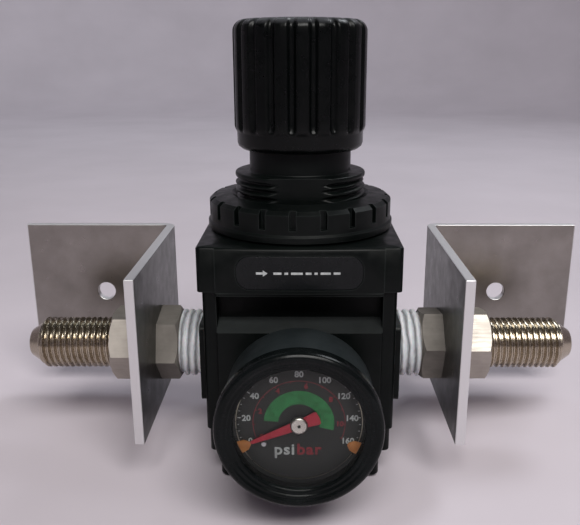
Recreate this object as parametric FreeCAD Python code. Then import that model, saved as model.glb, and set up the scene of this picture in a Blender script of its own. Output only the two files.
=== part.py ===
import FreeCAD, Part
import math
import os

# Miniature air pressure regulator with a dial gauge, flare adapters and mounting brackets.
# Millimetres. X runs along the two ports, Y points to the back, Z is up.
# The origin is the centre of the bottom face, under the knob's axis.

Vec = FreeCAD.Vector

# ---- driving dimensions -------------------------------------------------------------------
AXIS_Z = 22.8            # height of the port axis above the base

CORE_HALF = 18.9         # valve body, half width
BLOCK_HALF = 16.1        # raised front and back block, half width
BLOCK_FACE = 20.5        # raised block's face, from the middle
WAIST_FACE = 15.0        # bottom of the groove under the bonnet flange
WAIST_LOW = 10.5         # groove's lower lip above the port axis
WAIST_RISE = 1.2         # the lip slopes up by this much towards the middle
CORE_LOW = -11.1         # body's underside, from the port axis
SPLIT = 18.5             # body to bonnet joint, from the port axis
BOSS_REACH = 20.8        # port boss face, from the middle
BOSS_WIDTH = 24.0
BOSS_HEIGHT = 17.0

FLANGE_HALF = 19.7       # bonnet flange, half width
FLANGE_TOP = 27.4        # from the port axis
BOW_FACE = 21.0          # bowed name panel at its middle
BOW_EDGE = 20.3          # and at its sides
LABEL_HALF = 12.0
LABEL_LOW = 19.4
LABEL_TOP = 25.9
LABEL_DEPTH = 0.35
COLLAR_R = 13.5          # threaded collar, M27 x 1.5
COLLAR_FLAT = 11.9       # flat along the collar's front
COLLAR_TOP = 39.0
NECK_R = 10.5
NECK_TOP = 48.0
CAVITY_R = 10.3          # spring cavity

CAP_FLANGE_HALF = 18.4   # bottom cap
CAP_FLANGE_LOW = -16.3
CAP_BLOCK_X = 16.4
CAP_BLOCK_Y = 18.3

NUT_R = 19.0             # panel nut
NUT_RIM_R = 19.35
NUT_LOW = 27.5
NUT_TOP = 33.9
NUT_SLOTS = 20
NUT_PHASE = -94.0        # angle of one slot, degrees from +X

KNOB_R = 13.45
SKIRT_R = 12.95
KNOB_LOW = 43.7
KNOB_TOP = 69.0
KNOB_FLUTES = 20
KNOB_PHASE = -87.5
KNOB_FLUTE_LOW = 47.6
KNOB_TRAVEL = 4.0        # push to lock

SCREW_R = 2.95           # adjusting screw, M6 x 1
JOURNAL_R = 3.0
RUN_GAP = 0.05           # running clearance on the radius

REST_LOW = 34.4          # spring rest with the knob backed off
REST_THICK = 2.6
PLATE_LOW = 19.24        # diaphragm plate

CASE_SCREW_X = 13.0
CASE_SCREW_Y = 12.8
CASE_SCREW_R = 1.5

HEX_AF = 14.3            # 9/16 inch across flats
FLARE_THREAD_R = 5.556   # 7/16-20 UNF
NPT_R = 6.65             # 1/4 NPT at the hex
HEX_IN = 26.4
PLATE_IN = 31.0          # bracket's side plate, inner face
SHEET = 2.0
NUT_OUT = 41.2
THREAD_END = 57.3
NOSE_END = 59.9
FLARE_BORE_R = 2.15
RELIEF = 0.35            # engaged threads are solid to this far under the crest

BRACKET_FRONT = -22.0
BRACKET_BACK = 24.0
BRACKET_LOW = -12.9
BRACKET_TOP = 21.7
BRACKET_OUT = 67.5
BRACKET_HOLE_X = 49.1
BRACKET_HOLE_Z = 4.5
BRACKET_HOLE_R = 2.2
BEND_IN = 0.8

CASE_R = 13.9            # gauge case; gauge depths are measured forward from the knob axis
CASE_BACK = 25.0
CASE_WALL = 1.2
CASE_FRONT = 38.0
BEZEL_R = 14.8
BEZEL_FRONT = 40.0
WINDOW_R = 11.5
DIAL_FACE = 36.2
ZERO_ANGLE = 202.5       # pointer's rest, anticlockwise from +X seen from the front
SCALE_SWEEP = 225.0
MODULE = 0.2
PINION_TEETH = 12
SECTOR_TEETH = 60
TAIL_ANGLE = 247.5       # sector's tail at rest
TAIL_REACH = 3.2
TUBE_TIP = 208.0         # Bourdon tube's free end
TUBE_ROOT = 300.0        # and its fixed end
HEX_TILT = {"left_adapter": -11.0, "right_adapter": 10.0, "left_locknut": -2.0,
            "right_locknut": 9.0}   # front corner of each hexagon, degrees above level


# ---- helpers ------------------------------------------------------------------------------
def up(z):
    """Height above the base of a level given from the port axis."""
    return AXIS_Z + z


def box(x0, x1, y0, y1, z0, z1):
    return Part.makeBox(x1 - x0, y1 - y0, z1 - z0, Vec(x0, y0, z0))


def rod(r, z0, z1, x=0.0, y=0.0):
    return Part.makeCylinder(r, z1 - z0, Vec(x, y, z0))


def tube(r_in, r_out, z0, z1):
    return rod(r_out, z0, z1).cut(rod(r_in, z0 - 1, z1 + 1))


def turned(points):
    """Solid of revolution about Z from (radius, height) points."""
    corners = [Vec(r, 0, z) for r, z in points]
    face = Part.Face(Part.makePolygon(corners + corners[:1]))
    return face.revolve(Vec(0, 0, 0), Vec(0, 0, 1), 360)


def prism(points, z0, z1):
    """Straight solid from an outline of (x, y) points."""
    corners = [Vec(x, y, z0) for x, y in points]
    face = Part.Face(Part.makePolygon(corners + corners[:1]))
    return face.extrude(Vec(0, 0, z1 - z0))


def hexagon(across_flats, z0, z1, corner=0.0):
    radius = across_flats / math.sqrt(3)
    angles = [math.radians(corner + 60 * k) for k in range(6)]
    return prism([(radius * math.cos(a), radius * math.sin(a)) for a in angles], z0, z1)


def turn(shape, angle, axis=Vec(0, 0, 1)):
    copy = shape.copy()
    copy.rotate(Vec(0, 0, 0), axis, angle)
    return copy


def edges_along(shape, axis, test=lambda p: True):
    """Straight edges parallel to an axis whose middle passes the test."""
    found = []
    for edge in shape.Edges:
        if isinstance(edge.Curve, (Part.Line, Part.LineSegment)):
            direction = edge.tangentAt(edge.FirstParameter)
            if abs(direction.dot(axis)) > 0.999 and test(edge.CenterOfMass):
                found.append(edge)
    return found


def top_edges(shape, test):
    """Edges that lie in a shape's top face and pass the test."""
    top = shape.BoundBox.ZMax - 1e-3
    return [e for e in shape.Edges if e.BoundBox.ZMin > top and test(e.CenterOfMass)]


def rounded_box(x0, x1, y0, y1, z0, z1, radius, axis=Vec(0, 0, 1)):
    shape = box(x0, x1, y0, y1, z0, z1)
    return shape.makeFillet(radius, edges_along(shape, axis))


def forward(shape):
    """Stand a shape built along +Z on the gauge axis, pointing to the front."""
    copy = turn(shape, 90, Vec(1, 0, 0))
    copy.translate(Vec(0, 0, AXIS_Z))
    return copy


def sideways(shape, side):
    """Lay a shape built along +Z on the port axis, pointing to +X or -X."""
    copy = turn(shape, 90 * side, Vec(0, 1, 0))
    copy.translate(Vec(0, 0, AXIS_Z))
    return copy


def coil(mean_r, wire_r, z0, z1, turns):
    """Open-ended compression spring between two levels."""
    height = z1 - z0 - 2 * wire_r
    pitch = height / turns
    path = Part.Wire(Part.makeHelix(pitch, height, mean_r))
    along = Vec(0, 2 * math.pi * mean_r, pitch)
    section = Part.Wire(Part.makeCircle(wire_r, Vec(mean_r, 0, 0), along))
    spring = path.makePipeShell([section], True, True)
    spring.translate(Vec(0, 0, z0 + wire_r))
    return spring


# ---- valve body, bottom cap and bonnet ----------------------------------------------------
def port_cone(gap):
    """Tapered port thread, from its inner end to the boss face, along +Z."""
    return Part.makeCone(NPT_R - 0.4 + gap, NPT_R + gap, 9.6, Vec(0, 0, 11.2))


def gauge_cone(gap):
    return Part.makeCone(4.6 + gap, 4.85 + gap, 9.3, Vec(0, 0, 11.2))


def make_body():
    core = rounded_box(-CORE_HALF, CORE_HALF, -CORE_HALF, CORE_HALF, up(CORE_LOW), up(SPLIT), 1.2)
    block = rounded_box(-BLOCK_HALF, BLOCK_HALF, -BLOCK_FACE, BLOCK_FACE,
                        up(CORE_LOW), up(SPLIT), 0.5)
    boss = rounded_box(-BOSS_REACH, BOSS_REACH, -BOSS_WIDTH / 2, BOSS_WIDTH / 2,
                       up(-BOSS_HEIGHT / 2), up(BOSS_HEIGHT / 2), 1.5, Vec(1, 0, 0))
    body = core.fuse([block, boss])

    # groove round the front and back, under the bonnet flange
    far = BLOCK_FACE + 5
    slope = [(-far, up(WAIST_LOW)), (-BLOCK_FACE, up(WAIST_LOW)),
             (-WAIST_FACE, up(WAIST_LOW + WAIST_RISE)), (-WAIST_FACE, up(SPLIT) - 0.6),
             (-far, up(SPLIT) - 0.6)]
    corners = [Vec(-BLOCK_HALF, y, z) for y, z in slope]
    groove = Part.Face(Part.makePolygon(corners + corners[:1])).extrude(Vec(2 * BLOCK_HALF, 0, 0))
    body = body.cut([groove, turn(groove, 180)])

    # pressure chamber, orifice with its seat lip, valve chamber
    body = body.cut([rod(11.2, up(13.5), up(SPLIT) + 1), rod(2.6, up(0), up(14)),
                     rod(7.0, up(CORE_LOW) - 1, up(3.5))])
    body = body.fuse(tube(2.6, 3.3, up(3.0), up(3.6)))

    # ports, with the drillings that join them to the chambers
    for side in (-1, 1):
        body = body.cut(sideways(port_cone(0.05), side))
    body = body.cut(sideways(rod(2.4, 5.5, 12), -1))
    body = body.cut(rod(2.2, up(0), up(15.5), 12.6))
    for back in (0, 180):
        body = body.cut([turn(forward(gauge_cone(0.05)), back),
                         turn(rod(1.4, up(0), up(15.0), 0, -11.9), back)])
    return body.cut(case_screw_holes(CASE_SCREW_R + 0.1, up(CORE_LOW) - 1, up(SPLIT) + 1))


def case_screw_holes(r, z0, z1):
    places = [(x, y) for x in (-CASE_SCREW_X, CASE_SCREW_X) for y in (-CASE_SCREW_Y, CASE_SCREW_Y)]
    return Part.makeCompound([rod(r, z0, z1, x, y) for x, y in places])


def make_bottom_cap():
    flange = rounded_box(-CAP_FLANGE_HALF, CAP_FLANGE_HALF, -CAP_FLANGE_HALF, CAP_FLANGE_HALF,
                         up(CAP_FLANGE_LOW), up(CORE_LOW), 1.2)
    panel = rounded_box(-BLOCK_HALF, BLOCK_HALF, -BLOCK_FACE + 0.2, BLOCK_FACE - 0.2,
                        up(CAP_FLANGE_LOW), up(CORE_LOW), 0.5)
    block = rounded_box(-CAP_BLOCK_X, CAP_BLOCK_X, -CAP_BLOCK_Y, CAP_BLOCK_Y,
                        0, up(CAP_FLANGE_LOW), 1.6)
    foot = [e for e in block.Edges if abs(e.BoundBox.ZMax) < 1e-6]
    block = block.makeChamfer(0.8, foot)
    cap = flange.fuse([panel, block, rod(6.9, up(CORE_LOW) - 0.5, up(-7.0))])
    groove = tube(5.6, 8.0, up(-9.7), up(-8.1))
    cap = cap.cut([groove, rod(1.5 + RUN_GAP, up(-12.5), up(-6))])
    cap = cap.cut(case_screw_holes(CASE_SCREW_R + 0.1, -1, up(CORE_LOW) + 1))
    return cap.cut(case_screw_holes(2.9, -1, 3.5))


def make_bottom_oring():
    return Part.makeTorus(6.27, 0.66, Vec(0, 0, up(-8.9)))


def make_case_screws():
    screws = []
    for x in (-CASE_SCREW_X, CASE_SCREW_X):
        for y in (-CASE_SCREW_Y, CASE_SCREW_Y):
            screw = rod(CASE_SCREW_R, 3.0, up(24.5)).fuse(rod(2.75, 0.6, 3.45))
            screw = screw.cut(hexagon(2.5, 0, 2.2))
            screw.translate(Vec(x, y, 0))
            screws.append(screw)
    return Part.makeCompound(screws)


def bow_radius():
    sagitta = BOW_FACE - BOW_EDGE
    return (BLOCK_HALF ** 2 + sagitta ** 2) / (2 * sagitta)


def bow_panel(inset, x_half, z0, z1):
    """Name panel with a slightly bowed front, set back by inset from the bow."""
    radius = bow_radius()
    drum = Part.makeCylinder(radius - inset, z1 - z0, Vec(0, radius - BOW_FACE, z0))
    return drum.common(box(-x_half, x_half, -BOW_FACE - 1, -CORE_HALF + 2, z0, z1))


def label_outline(grow):
    """Rounded rectangle on the front panel, extruded through it."""
    shape = box(-LABEL_HALF - grow, LABEL_HALF + grow, -BOW_FACE - 1, -CORE_HALF,
                up(LABEL_LOW) - grow, up(LABEL_TOP) + grow)
    return shape.makeFillet(2.6 + grow, edges_along(shape, Vec(0, 1, 0)))


def make_bonnet():
    flange = rounded_box(-FLANGE_HALF, FLANGE_HALF, -FLANGE_HALF, FLANGE_HALF,
                         up(SPLIT), up(FLANGE_TOP), 1.0)
    front = bow_panel(0, BLOCK_HALF, up(SPLIT), up(FLANGE_TOP))
    flange = flange.makeChamfer(0.35, top_edges(flange, lambda p: True))
    front = front.makeChamfer(0.35, top_edges(front, lambda p: p.y < -CORE_HALF - 0.2))
    bonnet = flange.fuse([front, turn(front, 180)])
    free_low = up(NUT_TOP) + 0.6
    collar = turned([(0, up(FLANGE_TOP) - 1), (COLLAR_R - RELIEF, up(FLANGE_TOP) - 1),
                     (COLLAR_R - RELIEF, free_low), (COLLAR_R, free_low),
                     (COLLAR_R, up(COLLAR_TOP) - 0.4), (COLLAR_R - 0.4, up(COLLAR_TOP)),
                     (NECK_R + 0.5, up(COLLAR_TOP)), (NECK_R, up(COLLAR_TOP) + 0.5),
                     (NECK_R, up(NECK_TOP) - 0.8), (NECK_R - 0.8, up(NECK_TOP)),
                     (0, up(NECK_TOP))])
    flat = box(-COLLAR_R, COLLAR_R, -COLLAR_R - 1, -COLLAR_FLAT, up(FLANGE_TOP) + 0.05, up(COLLAR_TOP) + 1)
    bonnet = bonnet.fuse(collar.cut(flat))
    bonnet = bonnet.cut([rod(14.6, up(SPLIT) - 1, up(SPLIT) + 0.8),
                         rod(CAVITY_R, up(SPLIT), up(38.0)),
                         rod(6.0, up(37.5), up(41.0)),
                         rod(JOURNAL_R + RUN_GAP, up(40), up(NECK_TOP) + 1)])
    for angle in (0, 180):
        rib = box(9.3, CAVITY_R + 0.4, -0.6, 0.6, up(SPLIT) + 2.5, up(38.0))
        bonnet = bonnet.fuse(turn(rib, angle))
    panel_cut = label_outline(0.1).cut(bow_panel(LABEL_DEPTH, BLOCK_HALF + 1, up(0), up(40)))
    bonnet = bonnet.cut(panel_cut)
    return bonnet.cut(case_screw_holes(CASE_SCREW_R + 0.02, up(SPLIT) - 1, up(25.0)))


def make_label_plate():
    outer = bow_panel(0.05, BLOCK_HALF, up(SPLIT), up(FLANGE_TOP))
    inner = bow_panel(LABEL_DEPTH - 0.01, BLOCK_HALF + 1, up(0), up(40))
    return label_outline(0).common(outer).cut(inner)


# ---- knob, screw and spring ---------------------------------------------------------------
def make_panel_nut():
    bore = COLLAR_R - RELIEF + 0.06
    nut = turned([(bore, up(NUT_LOW)), (NUT_RIM_R - 0.4, up(NUT_LOW)),
                  (NUT_RIM_R, up(NUT_LOW) + 0.4), (NUT_RIM_R, up(NUT_LOW) + 1.5),
                  (NUT_R, up(NUT_LOW) + 1.9), (NUT_R, up(NUT_TOP) - 0.7),
                  (NUT_R - 0.8, up(NUT_TOP)), (COLLAR_R + 0.9, up(NUT_TOP) + 0.5),
                  (bore, up(NUT_TOP) - 0.3)])
    slot = box(NUT_R - 1.3, NUT_R + 2, -0.65, 0.65, up(NUT_TOP) - 3.6, up(NUT_TOP) + 1)
    slots = [turn(slot, NUT_PHASE + 360 / NUT_SLOTS * k) for k in range(NUT_SLOTS)]
    return nut.cut(slots)


def make_knob():
    knob = turned([(0, up(KNOB_LOW)), (SKIRT_R - 0.85, up(KNOB_LOW)), (SKIRT_R - 0.1, up(KNOB_LOW) + 1.1),
                   (SKIRT_R, up(KNOB_FLUTE_LOW) - 0.5), (KNOB_R, up(KNOB_FLUTE_LOW) + 0.4),
                   (KNOB_R, up(KNOB_TOP) - 1.6), (KNOB_R - 1.5, up(KNOB_TOP)), (0, up(KNOB_TOP))])
    flute = rod(0.85, up(KNOB_FLUTE_LOW), up(KNOB_TOP) + 1, KNOB_R + 0.2)
    flutes = [turn(flute, KNOB_PHASE + 360 / KNOB_FLUTES * k) for k in range(KNOB_FLUTES)]
    knob = knob.cut(flutes)
    roof = up(KNOB_TOP) - 3
    hub_low = up(NECK_TOP) + KNOB_TRAVEL + 1.5
    hollow_r = NECK_R + 0.4
    knob = knob.cut(tube(5.6, hollow_r, hub_low, roof).fuse(rod(hollow_r, up(KNOB_LOW) - 1, hub_low)))
    return knob.cut(hexagon(6.0 + 2 * RUN_GAP, hub_low - 1, roof))


def make_adjusting_screw():
    shaft = turned([(0, up(23.0)), (SCREW_R - 0.6, up(23.0)), (SCREW_R, up(23.6)),
                    (SCREW_R, up(38.6)), (5.6, up(38.6)), (5.6, up(40.8)),
                    (JOURNAL_R, up(40.8)), (JOURNAL_R, up(48.3)), (2.4, up(48.3)),
                    (2.4, up(49.0)), (JOURNAL_R, up(49.0)), (JOURNAL_R, up(49.6)),
                    (0, up(49.6))])
    return shaft.fuse(hexagon(6.0, up(49.6), up(61.5)))


def make_screw_clip():
    ring = tube(2.45, 4.8, up(48.35), up(48.95))
    return ring.cut(box(0, 6, -1.6, 1.6, up(48), up(49.5)))


def make_spring_rest():
    rest = tube(SCREW_R + RUN_GAP, 10.0, up(REST_LOW), up(REST_LOW + REST_THICK))
    rest = rest.fuse(tube(SCREW_R + RUN_GAP, 5.8, up(REST_LOW - 2.0), up(REST_LOW + 0.5)))
    for angle in (0, 180):
        notch = box(9.05, 11, -0.85, 0.85, up(REST_LOW - 1), up(REST_LOW + REST_THICK + 1))
        rest = rest.cut(turn(notch, angle))
    return rest


def make_range_spring():
    return coil(7.4, 0.8, up(PLATE_LOW + 1.4), up(REST_LOW) - 0.05, 4.25)


# ---- diaphragm and valve ------------------------------------------------------------------
def make_diaphragm():
    return tube(1.5, 14.5, up(SPLIT) + 0.02, up(SPLIT) + 0.7)


def make_diaphragm_plate():
    plate = turned([(0.5, up(17.2)), (1.4, up(17.2)), (1.4, up(PLATE_LOW)),
                    (9.1, up(PLATE_LOW)), (9.1, up(PLATE_LOW + 1.0)),
                    (8.8, up(PLATE_LOW + 1.3)), (6.2, up(PLATE_LOW + 1.3)),
                    (5.9, up(PLATE_LOW + 2.6)), (4.6, up(PLATE_LOW + 2.6)),
                    (4.2, up(PLATE_LOW + 1.0)), (0.5, up(PLATE_LOW + 1.0))])
    return plate


def make_relief_seat():
    return turned([(1.42, up(17.3)), (3.0, up(17.3)), (6.0, up(17.9)), (6.0, up(18.5)),
                   (1.42, up(18.5))])


def make_valve_poppet():
    return turned([(0, up(-9.5)), (1.1, up(-9.5)), (1.5, up(-9.1)), (1.5, up(0.4)),
                   (4.6, up(0.4)), (4.6, up(2.2)), (1.2, up(2.2)), (1.2, up(16.8)),
                   (0.8, up(17.15)), (0, up(17.15))])


def make_valve_disc():
    return tube(1.22, 4.4, up(2.22), up(2.97))


def make_valve_spring():
    return coil(2.9, 0.35, up(-6.95), up(0.35), 6)


# ---- adapters, nuts, tape, brackets and plug ----------------------------------------------
def chamfered_hex(z0, z1, corner, cut_low, cut_high):
    """Hexagon whose corners are turned back by a cone at either end."""
    shape = hexagon(HEX_AF, z0, z1, corner)
    ring = HEX_AF / 2 + 0.1
    reach = HEX_AF / math.sqrt(3) + 0.1
    drop = (reach - ring) * 0.6
    low = (ring, z0) if cut_low else (reach, z0)
    high = (ring, z1) if cut_high else (reach, z1)
    outline = [(0, z0), low, (reach, z0 + drop), (reach, z1 - drop), high, (0, z1)]
    return shape.common(turned(outline))


def front_corner(name, side):
    """Hexagon's turn that puts a corner to the front, tilted up or down."""
    return -90 - side * HEX_TILT[name]


def make_adapter(side, corner):
    shape = port_cone(0).fuse([rod(NPT_R, 20.7, HEX_IN + 0.5),
                               chamfered_hex(HEX_IN, PLATE_IN, corner, True, False)])
    free_end = NUT_OUT + 0.1
    outer = turned([(0, PLATE_IN - 0.5), (FLARE_THREAD_R - RELIEF, PLATE_IN - 0.5),
                    (FLARE_THREAD_R - RELIEF, free_end), (FLARE_THREAD_R, free_end),
                    (FLARE_THREAD_R, THREAD_END - 0.7), (FLARE_THREAD_R - 0.7, THREAD_END),
                    (4.5, THREAD_END), (3.0, NOSE_END - 0.3), (2.7, NOSE_END), (0, NOSE_END)])
    shape = shape.fuse(outer)
    bore = rod(FLARE_BORE_R, 10, NOSE_END + 1).fuse(rod(3.8, 10, 27))
    return sideways(shape.cut(bore), side)


def make_locknut(side, corner):
    shape = chamfered_hex(PLATE_IN + SHEET, NUT_OUT, corner, False, True)
    bore = FLARE_THREAD_R - RELIEF + 0.03
    return sideways(shape.cut(rod(bore, PLATE_IN, NUT_OUT + 1)), side)


def make_tape(side):
    wraps = [(NPT_R + 0.02, BOSS_REACH + 0.05)]
    count = 4
    step = (HEX_IN - 0.1 - BOSS_REACH - 0.05) / count
    for k in range(count):
        start = BOSS_REACH + 0.05 + step * k
        wraps += [(NPT_R + 0.22, start), (NPT_R + 0.48, start + step / 2)]
    wraps += [(NPT_R + 0.22, HEX_IN - 0.1), (NPT_R + 0.02, HEX_IN - 0.1)]
    return sideways(turned(wraps), side)


def make_bracket(side):
    outer_r = BEND_IN + SHEET
    x0, x1 = PLATE_IN, PLATE_IN + SHEET
    y0, y1 = BRACKET_BACK - SHEET, BRACKET_BACK
    low, top = up(BRACKET_LOW), up(BRACKET_TOP)
    shape = box(x0, x1, BRACKET_FRONT, y1, low, top).fuse(box(x0, BRACKET_OUT, y0, y1, low, top))
    shape = shape.removeSplitter()
    bend_out = edges_along(shape, Vec(0, 0, 1), lambda p: p.x < x0 + 0.1 and p.y > y1 - 0.1)
    shape = shape.makeFillet(outer_r, bend_out)
    bend_in = edges_along(shape, Vec(0, 0, 1),
                          lambda p: abs(p.x - x1) < 0.1 and abs(p.y - y0) < 0.1)
    shape = shape.makeFillet(BEND_IN, bend_in)
    shape = shape.cut(sideways(rod(FLARE_THREAD_R + 0.15, PLATE_IN - 2, PLATE_IN + 5), 1))
    hole = Part.makeCylinder(BRACKET_HOLE_R, 2 * SHEET, Vec(BRACKET_HOLE_X, y0 - 1, up(BRACKET_HOLE_Z)),
                             Vec(0, 1, 0))
    shape = shape.cut(hole)
    return shape if side > 0 else shape.mirror(Vec(0, 0, 0), Vec(1, 0, 0))


def make_port_plug():
    plug = gauge_cone(0).common(rod(8, 12.0, 20.4)).cut(hexagon(4.8, 16.0, 21))
    return turn(forward(plug), 180)


# ---- gauge --------------------------------------------------------------------------------
def make_gauge_socket():
    square = rounded_box(-5.5, 5.5, -5.5, 5.5, BLOCK_FACE + 0.4, CASE_BACK - 0.05, 0.8)
    stem = gauge_cone(0).fuse([rod(4.5, 20.3, 21.2), square, rod(3.2, CASE_BACK - 0.5, 29.95)])
    return forward(stem.cut(rod(1.2, 10, 29.0)))


def make_gauge_case():
    case = turned([(3.3, CASE_BACK), (CASE_R - 1.2, CASE_BACK), (CASE_R - 0.35, CASE_BACK + 0.35),
                   (CASE_R, CASE_BACK + 1.2), (CASE_R, CASE_FRONT), (CASE_R - CASE_WALL, CASE_FRONT),
                   (CASE_R - CASE_WALL, CASE_BACK + 1.0), (3.3, CASE_BACK + 1.0)])
    return forward(case)


def make_gauge_bezel():
    bezel = turned([(CASE_R + 0.04, 36.8), (BEZEL_R - 0.3, 36.8), (BEZEL_R, 37.1),
                    (BEZEL_R, 39.2), (BEZEL_R - 0.25, 39.75), (BEZEL_R - 0.8, BEZEL_FRONT),
                    (13.3, BEZEL_FRONT), (13.0, 39.7), (12.5, 39.7), (12.2, 39.4),
                    (11.8, 39.4), (WINDOW_R, 39.1), (WINDOW_R, 38.95), (12.72, 38.95),
                    (12.72, CASE_FRONT + 0.03), (CASE_R + 0.04, CASE_FRONT + 0.03)])
    return forward(bezel)


def make_gauge_lens():
    return forward(rod(12.65, CASE_FRONT + 0.05, 38.9))


def make_gauge_dial():
    return forward(tube(0.9, 12.5, DIAL_FACE - 0.4, DIAL_FACE))


def make_pointer():
    blade = prism([(-3.8, -1.15), (-3.8, 1.15), (-1.0, 0.75), (3.0, 0.6), (9.4, 0.18),
                   (9.4, -0.18), (3.0, -0.6), (-1.0, -0.75)], 36.95, 37.15)
    pointer = blade.fuse(turned([(0.62, 36.75), (1.55, 36.75), (1.55, 37.45), (1.35, 37.6),
                                 (0.62, 37.6)]))
    pointer = pointer.cut(rod(0.62, 36, 38))
    return forward(turn(pointer, ZERO_ANGLE))


def gear_outline(teeth, centre, half_width, first, last):
    """Straight-sided teeth on the arc from tooth first to tooth last, about the origin."""
    pitch_r = MODULE * teeth / 2
    step = 360 / teeth
    root, tip = pitch_r - 0.26, pitch_r + 0.17
    wide, narrow = half_width / root * 1.35, half_width / tip * 0.55
    points = []
    for k in range(first, last + 1):
        middle = math.radians(centre + step * k)
        for radius, offset in ((root, -wide), (tip, -narrow), (tip, narrow), (root, wide)):
            points.append((radius * math.cos(middle + offset), radius * math.sin(middle + offset)))
    return points


def centre_distance():
    return MODULE * (PINION_TEETH + SECTOR_TEETH) / 2


def make_pointer_shaft():
    pinion = prism(gear_outline(PINION_TEETH, -90 + 180 / PINION_TEETH, 0.125, 0, PINION_TEETH - 1),
                   31.6, 32.8)
    shaft = rod(0.45, 30.05, 35.3).fuse(rod(0.6, 35.2, 37.55))
    return forward(pinion.fuse(shaft))


def make_sector_gear():
    step = 360 / SECTOR_TEETH
    count = int(SCALE_SWEEP / (360 / PINION_TEETH)) + 2
    teeth = gear_outline(SECTOR_TEETH, 90 - step * count, 0.125, 0, count + 1)
    fan = prism(teeth + [(0.9, 1.2), (-0.9, 0.6), (-0.9, -0.6), (0.9, -0.6)], 31.8, 32.6)
    tail = box(0, TAIL_REACH + 0.9, -0.8, 0.8, 31.8, 32.6)
    tail = tail.cut(rod(0.45, 31, 33, TAIL_REACH))
    tail = turn(tail, TAIL_ANGLE)
    sector = fan.fuse([rod(1.2, 31.8, 32.6), rod(0.5, 30.05, 34.85), tail])
    sector.translate(Vec(0, -centre_distance(), 0))
    return forward(sector)


def make_tube_link():
    """Flat link from the sector's tail to the tip of the Bourdon tube."""
    angle = math.radians(TAIL_ANGLE)
    near = Vec(TAIL_REACH * math.cos(angle), TAIL_REACH * math.sin(angle) - centre_distance(), 0)
    far = Vec(10.6 * math.cos(math.radians(TUBE_TIP)), 10.6 * math.sin(math.radians(TUBE_TIP)), 0)
    reach = far.sub(near)
    link = box(0, reach.Length, -0.5, 0.5, 33.65, 34.0)
    link = link.fuse([rod(0.8, 33.65, 34.0), rod(0.8, 33.65, 34.0, reach.Length),
                      rod(0.4, 31.9, 33.8)])
    link = turn(link, math.degrees(math.atan2(reach.y, reach.x)))
    link.translate(near)
    return forward(link)


def make_movement_frame():
    plate = rounded_box(-4.5, 4.5, -9.6, 3.6, 30.0, 30.45, 0.8)
    top = rounded_box(-4.5, 4.5, -9.6, 3.6, 34.4, 34.9, 0.8)
    pillars = [rod(0.6, 30.2, 34.6, x, y) for x, y in ((-3.8, 2.9), (3.8, 2.9), (3.8, -8.9))]
    frame = plate.fuse([top] + pillars)
    holes = [rod(0.5, 29, 36), rod(0.55, 29, 36, 0, -centre_distance())]
    return forward(frame.cut(holes))


def make_bourdon_tube():
    arc = turned([(10.0, 31.2), (11.2, 31.2), (11.2, 33.6), (10.0, 33.6)])
    ends = [math.radians(a) for a in (TUBE_TIP + 4, 255, 285, TUBE_ROOT)]
    arc = arc.cut(prism([(0, 0)] + [(40 * math.cos(a), 40 * math.sin(a)) for a in ends], 30, 35))
    root = box(0, 11.2, -0.9, 0.9, 29.1, 29.9).fuse(box(10.0, 11.2, -0.9, 0.9, 29.1, 31.5))
    root = root.cut(rod(3.25, 28, 31))
    return forward(arc.fuse(turn(root, TUBE_ROOT + 5)))


def make_stop_pin():
    angle = math.radians(211.6)
    return forward(rod(0.42, DIAL_FACE + 0.01, 36.9, 7.3 * math.cos(angle), 7.3 * math.sin(angle)))


def make_marker(angle, depth):
    """Set marker: a ring under the bezel with a tab that points at the scale."""
    ring = tube(11.9, 12.5, depth, depth + 0.2)
    tab = prism([(12.2, -1.3), (12.2, 1.3), (10.2, 1.0), (9.4, 0.25), (9.4, -0.25), (10.2, -1.0)],
                depth, depth + 0.2)
    return forward(turn(ring.fuse(tab), angle))


# ---- parts --------------------------------------------------------------------------------
PARTS = {
    "valve_body": make_body(),
    "bottom_cap": make_bottom_cap(),
    "bottom_oring": make_bottom_oring(),
    "case_screws": make_case_screws(),
    "bonnet": make_bonnet(),
    "label_plate": make_label_plate(),
    "panel_nut": make_panel_nut(),
    "knob": make_knob(),
    "adjusting_screw": make_adjusting_screw(),
    "screw_clip": make_screw_clip(),
    "spring_rest": make_spring_rest(),
    "range_spring": make_range_spring(),
    "diaphragm": make_diaphragm(),
    "diaphragm_plate": make_diaphragm_plate(),
    "relief_seat": make_relief_seat(),
    "valve_poppet": make_valve_poppet(),
    "valve_disc": make_valve_disc(),
    "valve_spring": make_valve_spring(),
    "port_plug": make_port_plug(),
    "left_adapter": make_adapter(-1, front_corner("left_adapter", -1)),
    "right_adapter": make_adapter(1, front_corner("right_adapter", 1)),
    "left_tape": make_tape(-1),
    "right_tape": make_tape(1),
    "left_bracket": make_bracket(-1),
    "right_bracket": make_bracket(1),
    "left_locknut": make_locknut(-1, front_corner("left_locknut", -1)),
    "right_locknut": make_locknut(1, front_corner("right_locknut", 1)),
    "gauge_socket": make_gauge_socket(),
    "gauge_case": make_gauge_case(),
    "gauge_bezel": make_gauge_bezel(),
    "gauge_lens": make_gauge_lens(),
    "gauge_dial": make_gauge_dial(),
    "gauge_pointer": make_pointer(),
    "pointer_shaft": make_pointer_shaft(),
    "sector_gear": make_sector_gear(),
    "tube_link": make_tube_link(),
    "movement_frame": make_movement_frame(),
    "bourdon_tube": make_bourdon_tube(),
    "stop_pin": make_stop_pin(),
    "low_marker": make_marker(204.0, 36.35),
    "high_marker": make_marker(-24.0, 36.65),
}

os.makedirs("parts", exist_ok=True)
for name, shape in PARTS.items():
    shape.exportStep(f"parts/{name}.step")
    print(f"{name:18s} valid {shape.isValid()} solids {len(shape.Solids)} volume {shape.Volume:9.2f}")
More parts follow.
